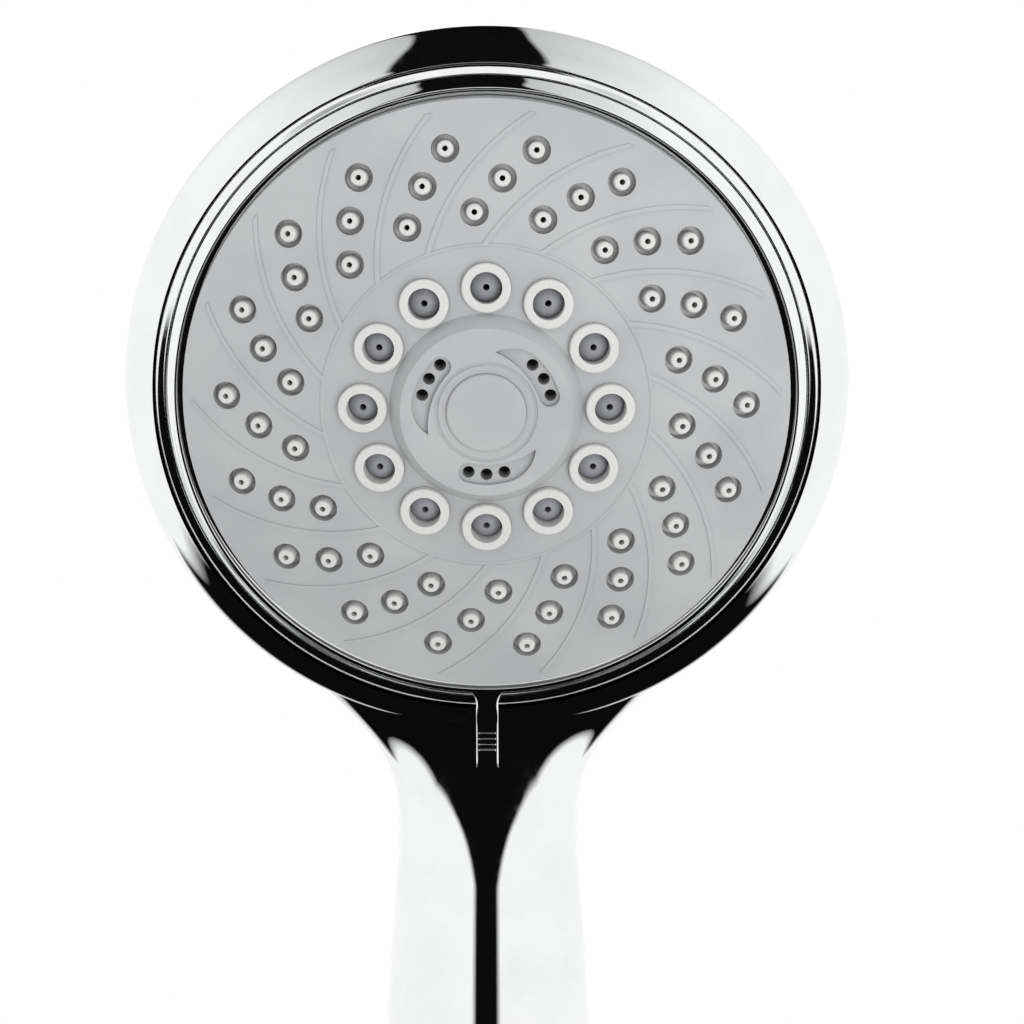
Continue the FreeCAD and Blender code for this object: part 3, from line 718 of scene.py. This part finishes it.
@dataclass
class Handle:
    """The chromed body, which is head bowl, neck and handle in one, and the water tube inside.

    Sizes are in millimetres.
    """

    ovals: tuple[Oval, ...] = (
        Oval(13.5, 12.2, 12.1), Oval(40.0, 15.4, 14.6), Oval(78.0, 17.6, 15.3), Oval(106.0, 16.0, 13.8),
        Oval(119.0, 15.8, 13.0), Oval(128.0, 18.6, 12.45), Oval(136.0, 25.0, 11.9, 0.5),
        Oval(144.0, 31.6, 13.4, 3.4), Oval(153.0, 35.6, 15.0, 6.0), Oval(164.0, 36.0, 15.2, 6.8),
        Oval(178.0, 32.0, 15.0, 7.8), Oval(194.0, 24.0, 11.0, 8.5))
    bend_start: float = 55.0
    bend_end: float = 128.0
    wall: float = 2.5
    bore_foot: float = 12.5
    mouth: float = 55.65
    front: float = -11.12
    rim_start: float = 56.0
    ledge: float = -22.45
    rim_skin: float = 0.03
    grip_skin: float = 0.05
    head_steps: int = 216
    oval_steps: int = 128
    grip_gap: float = 1.9
    bore_gap: float = 3.8

    def spine(self, height: float, lean_end: float) -> tuple[float, float]:
        """Place and lean of the handle's centre line at a height.

        Args:
            height: the height in millimetres.
            lean_end: lean above the bend, in radians.

        Returns:
            Its y in millimetres and its lean in radians.
        """
        run = self.bend_end - self.bend_start
        rate = math.tan(lean_end) / (2 * run)
        past = max(0.0, min(height, self.bend_end) - self.bend_start)
        beyond = max(0.0, height - self.bend_end)
        return -rate * past ** 2 - beyond * math.tan(lean_end), math.atan(2 * rate * past)

    def loft(self, name: str, inset: float, foot: float, gap: float) -> bpy.types.Mesh:
        """The handle's outside, or its inside where inset is the wall.

        Args:
            name: the mesh's name.
            inset: how far inside the outside it lies.
            foot: height of its lower end.
            gap: distance between its rings.

        Returns:
            The mesh.
        """
        heights = [o.height for o in self.ovals]
        width, depth, forward = (Spline(heights, [getattr(o, part) for o in self.ovals])
                                 for part in ("half_width", "half_depth", "forward"))
        lean_end = math.asin(-head_frame().col[2].z)
        count = round((heights[-1] - heights[0]) / gap)
        rings = []
        for n in range(count + 1):
            at = heights[0] + (heights[-1] - heights[0]) * n / count
            level = at if n else foot
            y, lean = self.spine(level, lean_end)
            across, along = width.at(at) - inset, depth.at(at) - inset
            ring = []
            for k in range(self.oval_steps):
                a = 2 * math.pi * k / self.oval_steps
                out = along * math.sin(a) - forward.at(at)
                ring.append(Vector((across * math.cos(a), y + out * math.cos(lean),
                                    level + out * math.sin(lean))) / 1000)
            rings.append(ring)
        return lofted_mesh(name, rings)

    def bowl(self, place: Matrix) -> bpy.types.Mesh:
        """Outside of the head: rounded rim and shallow dished back.

        Args:
            place: the frame of the spray axis.

        Returns:
            The mesh.
        """
        curve = smooth_outline([(self.mouth, self.front), (57.3, -12.1), (58.8, -13.3), (60.0, -14.85),
                                (60.6, -16.3), (60.1, -18.6), (58.6, -22.0), (54.2, -27.4), (41.0, -33.4),
                                (20.0, -37.2), (0.0, -38.3), (-20.0, -37.2)], 8)
        outline = [(max(0.0, r - self.rim_skin * (r > self.rim_start)), z) for r, z in curve if r > -1e-6]
        return turned_mesh("bowl", outline + [(0.0, self.front)], self.head_steps, place)

    def hollow(self, place: Matrix) -> bpy.types.Mesh:
        """Room inside the head, with the ledge that the valve base sits on.

        Args:
            place: the frame of the spray axis.

        Returns:
            The mesh.
        """
        above = 5.0
        floor = smooth_outline([(52.9, -25.6), (28.0, -33.4), (0.0, -35.9)], 8)
        return turned_mesh("hollow", [(0.0, above), (self.mouth, above), (self.mouth, self.ledge),
                                      (53.6, self.ledge), *floor], self.head_steps, place)

    def build(self) -> None:
        """Makes the body smooth and puts it in the place of the plain one."""
        place = head_frame()
        grip = self.loft("grip", self.grip_skin, self.ovals[0].height, self.grip_gap)
        bore = self.loft("bore", self.wall, self.bore_foot, self.bore_gap)
        mesh = combined("body_shell_smooth", self.bowl(place), [grip], [self.hollow(place), bore])
        piece = new_piece("body_shell_smooth", mesh, Ware.CHROME_ABS, "handle")
        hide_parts("body_shell")
        dress("waterway_tube", Ware.WHITE_ABS)


@dataclass
class Mechanism:
    """Everything behind the face that chooses and shapes the spray."""

    wares: dict[str, Ware] = field(default_factory=lambda: {
        "channel_plate": Ware.WHITE_ABS, "selector_disc": Ware.WHITE_ABS, "valve_base": Ware.WHITE_ABS,
        "inlet_elbow": Ware.WHITE_ABS, "pulse_wheel": Ware.WHITE_ACETAL, "port_seal": Ware.BLACK_EPDM,
        "hub_o_ring": Ware.BLACK_EPDM, "tube_o_ring": Ware.BLACK_EPDM, "port_spring": Ware.SPRING_STEEL,
        "detent_leaf": Ware.SPRING_STEEL, "disc_screws": Ware.STAINLESS, "centre_screw": Ware.STAINLESS,
        "retaining_washer": Ware.STAINLESS})

    def build(self) -> None:
        """Dresses the mechanism."""
        for node, ware in self.wares.items():
            dress(node, ware)


@dataclass
class Inlet:
    """The threaded nipple at the handle's foot and what sits in it. Sizes in millimetres."""

    major: float = 10.4775
    depth: float = 1.162
    pitch: float = 1.8143
    bore: float = 8.3
    bore_chamfer: float = 0.25
    seat_radius: float = 6.6
    seat_height: float = 7.2
    thread_top: float = 9.6
    shoulder: float = 11.0
    flange: float = 11.9
    flange_top: float = 13.4
    neck_radius: float = 9.0
    neck_top: float = 20.0
    chamfer: float = 0.9
    steps: int = 72
    thread_rows: int = 96
    crease: float = 40.0

    def radius_at(self, height: float, angle: float) -> float:
        """Outside radius of the rounded thread.

        Args:
            height: the height in millimetres.
            angle: the angle round the nipple, in radians.

        Returns:
            The radius in millimetres.
        """
        phase = ((height - self.pitch * angle / (2 * math.pi)) / self.pitch) % 1.0
        wave = 0.5 + 0.5 * math.cos(2 * math.pi * phase)
        sharp = max(0.0, min(1.0, (wave - 0.5) * 1.5 + 0.5))
        run_out = max(0.0, min(1.0, (self.thread_top - height) / self.pitch))
        cut = self.depth * (1.0 - sharp) * run_out
        lead_in = max(0.0, self.chamfer - height)
        return min(self.major - cut, self.major - lead_in)

    def thread_mesh(self) -> bpy.types.Mesh:
        """The nipple's visible outside: right-handed thread that runs out to plain below the flange, flange and
        bore.

        Returns:
            A mesh in the row frame, in metres.
        """
        heights = [i * self.shoulder / self.thread_rows for i in range(self.thread_rows + 1)]
        grid = bmesh.new()
        rings: list[list[bmesh.types.BMVert]] = []

        def add_ring(radius: Callable[[float], float], height: float) -> None:
            """Adds one ring of points.

            Args:
                radius: the radius in millimetres at each angle.
                height: the ring's height in millimetres.
            """
            ring = []
            for a in (2 * math.pi * k / self.steps for k in range(self.steps)):
                spot = Vector((radius(a) * math.cos(a), radius(a) * math.sin(a), height))
                ring.append(grid.verts.new(spot / 1000))
            rings.append(ring)

        for radius, height in ((self.seat_radius, self.seat_height), (self.bore, self.seat_height),
                               (self.bore, self.bore_chamfer), (self.bore + self.bore_chamfer, 0.0)):
            add_ring(lambda a, r=radius: r, height)
        for height in heights:
            add_ring(lambda a, h=height: self.radius_at(h, a), height)
        for radius, height in ((self.flange - 0.3, self.shoulder + 0.05), (self.flange, self.shoulder + 0.35),
                               (self.flange, self.flange_top), (self.neck_radius, self.flange_top + 0.04),
                               (self.neck_radius, self.neck_top)):
            add_ring(lambda a, r=radius: r, height)
        for low, high in zip(rings, rings[1:]):
            for k in range(self.steps):
                grid.faces.new((low[k], low[(k + 1) % self.steps], high[(k + 1) % self.steps], high[k]))
        mesh = bpy.data.meshes.new("inlet_thread")
        grid.to_mesh(mesh)
        grid.free()
        mesh.polygons.foreach_set("use_smooth", [True] * len(mesh.polygons))
        mesh.set_sharp_from_angle(angle=math.radians(self.crease))
        return mesh

    def build(self) -> None:
        """Cuts the thread and dresses what sits in the nipple."""
        nipple = new_piece("inlet_nipple_threaded", self.thread_mesh(), Ware.CHROME_BRASS, "handle")
        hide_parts("inlet_nipple")
        for node, ware in (("nipple_o_ring", Ware.BLACK_EPDM), ("restrictor_o_ring", Ware.BLACK_EPDM),
                           ("flow_restrictor", Ware.WHITE_ACETAL), ("filter_screen", Ware.WHITE_ACETAL)):
            dress(node, ware)


@dataclass
class LightTent:
    """White surroundings with two dark cards and a grey ceiling, which only reflections see.

    Places are parts of a unit vector that points from the shower head to the surroundings. low_half holds
    the least and the most half width of the low card, and low_widening the slope and start of its change
    with height. high_half holds the three parts of the high card's half width, a quadratic of y.
    """

    white: Rgba = (1.0, 1.0, 1.0, 1.0)
    black: str = "0b0b0c"
    grey: str = "bfc0c1"
    low_middle: float = -0.03
    low_half: tuple[float, float] = (0.17, 0.64)
    low_widening: tuple[float, float] = (-2.6, -0.688)
    high_middle: float = -0.06
    high_half: tuple[float, float, float] = (0.19, -0.075, -0.02)

    def from_middle(self, tree: bpy.types.NodeTree, axes: bpy.types.Node,
                    middle: float) -> bpy.types.NodeSocket:
        """Distance to the side of a card's middle.

        Args:
            tree: the world's tree.
            axes: the node with the direction's parts.
            middle: x of the card's middle.

        Returns:
            The distance.
        """
        aside = add_node(tree, "ShaderNodeMath", {"operation": "ADD", 1: -middle}, {0: axes.outputs["X"]})
        return add_node(tree, "ShaderNodeMath", {"operation": "ABSOLUTE"}, {0: aside.outputs[0]}).outputs[0]

    def low_card(self, tree: bpy.types.NodeTree, axes: bpy.types.Node) -> bpy.types.NodeSocket:
        """The dark card in front, which hangs below the horizon and widens downward.

        Args:
            tree: the world's tree.
            axes: the node with the direction's parts.

        Returns:
            How dark the card makes each direction, from 0 to 1.
        """
        side = self.from_middle(tree, axes, self.low_middle)
        slope, start = self.low_widening
        wide = add_node(tree, "ShaderNodeMath", {"operation": "MULTIPLY_ADD", 1: slope, 2: start},
                        {0: axes.outputs["Z"]})
        least = add_node(tree, "ShaderNodeMath", {"operation": "MAXIMUM", 1: self.low_half[0]},
                         {0: wide.outputs[0]})
        most = add_node(tree, "ShaderNodeMath", {"operation": "MINIMUM", 1: self.low_half[1]},
                        {0: least.outputs[0]})
        inside = add_node(tree, "ShaderNodeMath", {"operation": "SUBTRACT"}, {0: most.outputs[0], 1: side})
        column = fade(tree, inside.outputs[0], 0.0, 1.0, -0.08, 0.0)
        below = fade(tree, axes.outputs["Z"], 1.0, 0.0, -0.16, -0.1)
        front = fade(tree, axes.outputs["Y"], 1.0, 0.3, -0.1, 0.15)
        downward = fade(tree, axes.outputs["Z"], 1.0, 0.0, -0.55, -0.4)
        near = add_node(tree, "ShaderNodeMath", {"operation": "MAXIMUM"}, {0: front, 1: downward})
        hung = add_node(tree, "ShaderNodeMath", {"operation": "MULTIPLY"}, {0: column, 1: below})
        return add_node(tree, "ShaderNodeMath", {"operation": "MULTIPLY"},
                        {0: hung.outputs[0], 1: near.outputs[0]}).outputs[0]

    def high_card(self, tree: bpy.types.NodeTree, axes: bpy.types.Node) -> bpy.types.NodeSocket:
        """The dark card overhead, whose width changes from back to front.

        Args:
            tree: the world's tree.
            axes: the node with the direction's parts.

        Returns:
            How dark the card makes each direction, from 0 to 1.
        """
        side = self.from_middle(tree, axes, self.high_middle)
        half, slope, bend = self.high_half
        slant = add_node(tree, "ShaderNodeMath", {"operation": "MULTIPLY_ADD", 1: bend, 2: slope},
                         {0: axes.outputs["Y"]})
        reach = add_node(tree, "ShaderNodeMath", {"operation": "MULTIPLY_ADD", 2: half},
                         {0: axes.outputs["Y"], 1: slant.outputs[0]})
        inside = add_node(tree, "ShaderNodeMath", {"operation": "SUBTRACT"}, {0: reach.outputs[0], 1: side})
        return add_node(tree, "ShaderNodeMath", {"operation": "MULTIPLY"},
                        {0: fade(tree, inside.outputs[0], 0.0, 1.0, -0.012, 0.012),
                         1: fade(tree, axes.outputs["Z"], 0.0, 1.0, 0.08, 0.14)}).outputs[0]

    def ceiling(self, tree: bpy.types.NodeTree, axes: bpy.types.Node) -> bpy.types.NodeSocket:
        """The greying of the tent's top towards the card overhead.

        Args:
            tree: the world's tree.
            axes: the node with the direction's parts.

        Returns:
            How grey each direction is, from 0 to 1.
        """
        side = self.from_middle(tree, axes, self.high_middle)
        return add_node(tree, "ShaderNodeMath", {"operation": "MULTIPLY"},
                        {0: fade(tree, side, 1.0, 0.0, 0.15, 0.75),
                         1: fade(tree, axes.outputs["Z"], 0.0, 1.0, 0.1, 0.7)}).outputs[0]

    def build(self) -> None:
        """Makes the surroundings, plain white to everything but reflections."""
        world = bpy.data.worlds.new("studio")
        bpy.context.scene.world = world
        world.use_nodes = True
        tree = world.node_tree
        tree.nodes.clear()
        place = add_node(tree, "ShaderNodeTexCoord")
        axes = add_node(tree, "ShaderNodeSeparateXYZ", links={0: place.outputs["Generated"]})
        path = add_node(tree, "ShaderNodeLightPath")
        dark = add_node(tree, "ShaderNodeMath", {"operation": "MAXIMUM"},
                        {0: self.low_card(tree, axes), 1: self.high_card(tree, axes)})
        black, grey = (add_node(tree, "ShaderNodeMath", {"operation": "MULTIPLY"},
                                {0: value, 1: path.outputs["Is Glossy Ray"]}).outputs[0]
                       for value in (dark.outputs[0], self.ceiling(tree, axes)))
        cloth = add_node(tree, "ShaderNodeMix", {"data_type": "RGBA", 6: self.white, 7: linear(self.grey)},
                         {0: grey})
        cards = add_node(tree, "ShaderNodeMix", {"data_type": "RGBA", 7: linear(self.black)},
                         {0: black, 6: cloth.outputs[2]})
        glow = add_node(tree, "ShaderNodeBackground", {"Strength": 1.0}, {"Color": cards.outputs[2]})
        add_node(tree, "ShaderNodeOutputWorld", links={"Surface": glow.outputs[0]})


@dataclass(frozen=True)
class Softbox:
    """One square soft light. Places and sizes in metres, power in watts."""

    name: str
    place: tuple[float, float, float]
    size: float
    power: float

    def build(self, target: Vector) -> None:
        """Puts the light in the scene.

        Args:
            target: the point that it faces.
        """
        data = bpy.data.lights.new(self.name, "AREA")
        data.shape, data.size, data.energy = "SQUARE", self.size, self.power
        box = bpy.data.objects.new(self.name, data)
        bpy.context.scene.collection.objects.link(box)
        box.location = self.place
        box.rotation_euler = (target - box.location).to_track_quat("-Z", "Y").to_euler()
        box.visible_glossy = False


@dataclass
class Studio:
    """Camera, light tent, pale floor and soft lights. Sizes in metres, the lens in millimetres."""

    distance: float = 0.810
    lens: float = 173.3
    sensor: float = 36.0
    aim_drop: float = 0.0169
    aim_side: float = 0.0042
    floor_radius: float = 0.38
    floor_drop: float = 0.0005
    lit_point: tuple[float, float, float] = (0.0, -0.04, 0.17)
    lights: tuple[Softbox, ...] = (Softbox("key", (0.5, -1.2, -0.25), 0.8, 11.0),
                                   Softbox("top", (-0.7, -0.9, 1.1), 0.9, 0.8))

    def camera(self) -> None:
        """Stands the camera level with the face's middle, looking a little down the handle."""
        joint = next(j for j in frame["joints"] if j["name"] == "selector_turn")
        face = Vector(joint["pos_m"])
        data = bpy.data.cameras.new("camera")
        data.lens, data.sensor_width = self.lens, self.sensor
        data.clip_start, data.clip_end = 0.05, 20.0
        eye = bpy.data.objects.new("camera", data)
        bpy.context.scene.collection.objects.link(eye)
        eye.location = face + Vector((self.aim_side, -self.distance, 0.0))
        aim = Vector((0.0, self.distance, -self.aim_drop))
        eye.rotation_euler = aim.to_track_quat("-Z", "Y").to_euler()
        bpy.context.scene.camera = eye

    def floor(self) -> None:
        """A round pale floor just below the inlet."""
        mesh = bpy.data.meshes.new("floor")
        disc = bmesh.new()
        bmesh.ops.create_circle(disc, cap_ends=True, radius=self.floor_radius, segments=96,
                                matrix=Matrix.Translation((0.0, 0.0, -self.floor_drop)))
        disc.to_mesh(mesh)
        disc.free()
        plane = bpy.data.objects.new("floor", mesh)
        bpy.context.scene.collection.objects.link(plane)
        made = bpy.data.materials.new("paper_floor_matt_white")
        made.use_nodes = True
        shader = made.node_tree.nodes["Principled BSDF"]
        shader.inputs["Base Color"].default_value = linear("f6f6f4")
        shader.inputs["Roughness"].default_value = 0.8
        mesh.materials.append(made)
        plane.visible_glossy = False

    def build(self) -> None:
        """Sets up camera, surroundings, floor and lights."""
        self.camera()
        LightTent().build()
        self.floor()
        for light in self.lights:
            light.build(Vector(self.lit_point))
        bpy.context.scene.view_settings.view_transform = "Standard"


def main() -> None:
    """Builds every sub-assembly in order and the studio round them."""
    logging.basicConfig(level=logging.INFO, format="%(message)s")
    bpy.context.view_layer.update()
    for part in (Handle(), Inlet(), Mechanism(), SprayFace(), Bezel(), Studio()):
        part.build()
        log.info("built %s", type(part).__name__)


if __name__ == "__main__":
    main()
